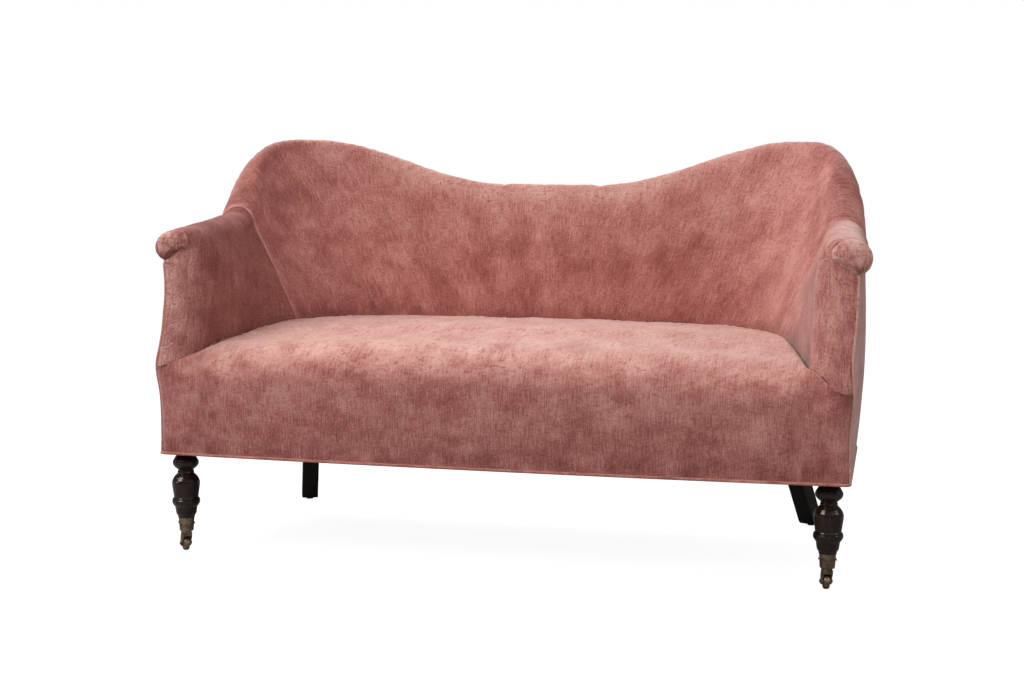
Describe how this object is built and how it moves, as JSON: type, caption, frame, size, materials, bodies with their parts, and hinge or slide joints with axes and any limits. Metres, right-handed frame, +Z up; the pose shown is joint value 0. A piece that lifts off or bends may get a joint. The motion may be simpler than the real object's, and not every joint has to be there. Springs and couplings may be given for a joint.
{
  "type": "sofa",
  "caption": "Two-seat upholstered sofa with a double-humped back curving into rolled arms, turned front legs on castors and raked back legs.",
  "frame": {"origin": "middle of the footprint on the floor", "axes": "+X to the viewer's right along the sofa, +Y to the back, +Z up"},
  "size_m": [1.4118, 0.6514, 0.835],
  "materials": {
    "velvet": "dusty rose crushed velvet",
    "frame_wood": "plain sawn beech",
    "leg_wood": "dark polished walnut",
    "brass": "aged brass",
    "jute": "woven jute",
    "stuffing": "hair and cotton felt",
    "spring_steel": "drawn wire",
    "cambric": "black dust cloth",
    "glide_steel": "dark domed glide"
  },
  "bodies": {
    "sofa": {"front_rail": "frame_wood", "back_rail": "frame_wood", "left_side_rail": "frame_wood", "right_side_rail": "frame_wood", "cross_rails": "frame_wood", "front_blocks": "frame_wood", "back_blocks": "frame_wood", "left_arm_post": "frame_wood", "right_arm_post": "frame_wood", "left_arm_rail": "frame_wood", "right_arm_rail": "frame_wood", "left_arm_tack_rail": "frame_wood", "right_arm_tack_rail": "frame_wood", "back_posts": "frame_wood", "back_uprights": "frame_wood", "back_top_rail": "frame_wood", "back_tack_rail": "frame_wood", "seat_webbing": "jute", "seat_springs": "spring_steel", "seat_hessian": "jute", "seat_pad": "stuffing", "seat_cover": "velvet", "back_webbing": "jute", "back_pad": "stuffing", "back_cover": "velvet", "left_arm_pad": "stuffing", "right_arm_pad": "stuffing", "left_arm_cover": "velvet", "right_arm_cover": "velvet", "left_facing": "velvet", "right_facing": "velvet", "left_scroll": "velvet", "right_scroll": "velvet", "left_outside_arm": "velvet", "right_outside_arm": "velvet", "outside_back": "velvet", "bottom_welt": "velvet", "left_facing_welt": "velvet", "right_facing_welt": "velvet", "dust_cover": "cambric", "left_front_leg": "leg_wood", "right_front_leg": "leg_wood", "left_back_leg": "leg_wood", "right_back_leg": "leg_wood", "left_castor_cup": "brass", "right_castor_cup": "brass", "cup_screws": "brass", "left_facing_pad": "stuffing", "right_facing_pad": "stuffing", "frame_dowels": "frame_wood", "foot_glides": "glide_steel"},
    "left_castor": {"left_castor_horn": "brass", "left_castor_axle": "spring_steel"},
    "right_castor": {"right_castor_horn": "brass", "right_castor_axle": "spring_steel"},
    "left_wheel": {"left_castor_wheel": "brass"},
    "right_wheel": {"right_castor_wheel": "brass"}
  },
  "joints": [
    {"name": "left_swivel", "type": "hinge", "parent": "sofa", "child": "left_castor", "pos_m": [-0.639, -0.27573, 0.04], "axis": [0, 0, 1], "continuous": true},
    {"name": "left_roll", "type": "hinge", "parent": "left_castor", "child": "left_wheel", "pos_m": [-0.64442, -0.26854, 0.015], "axis": [0.7986, 0.6018, 0], "continuous": true},
    {"name": "right_swivel", "type": "hinge", "parent": "sofa", "child": "right_castor", "pos_m": [0.639, -0.27573, 0.04], "axis": [0, 0, 1], "continuous": true},
    {"name": "right_roll", "type": "hinge", "parent": "right_castor", "child": "right_wheel", "pos_m": [0.63697, -0.26696, 0.015], "axis": [0.9744, 0.225, 0], "continuous": true}
  ]
}
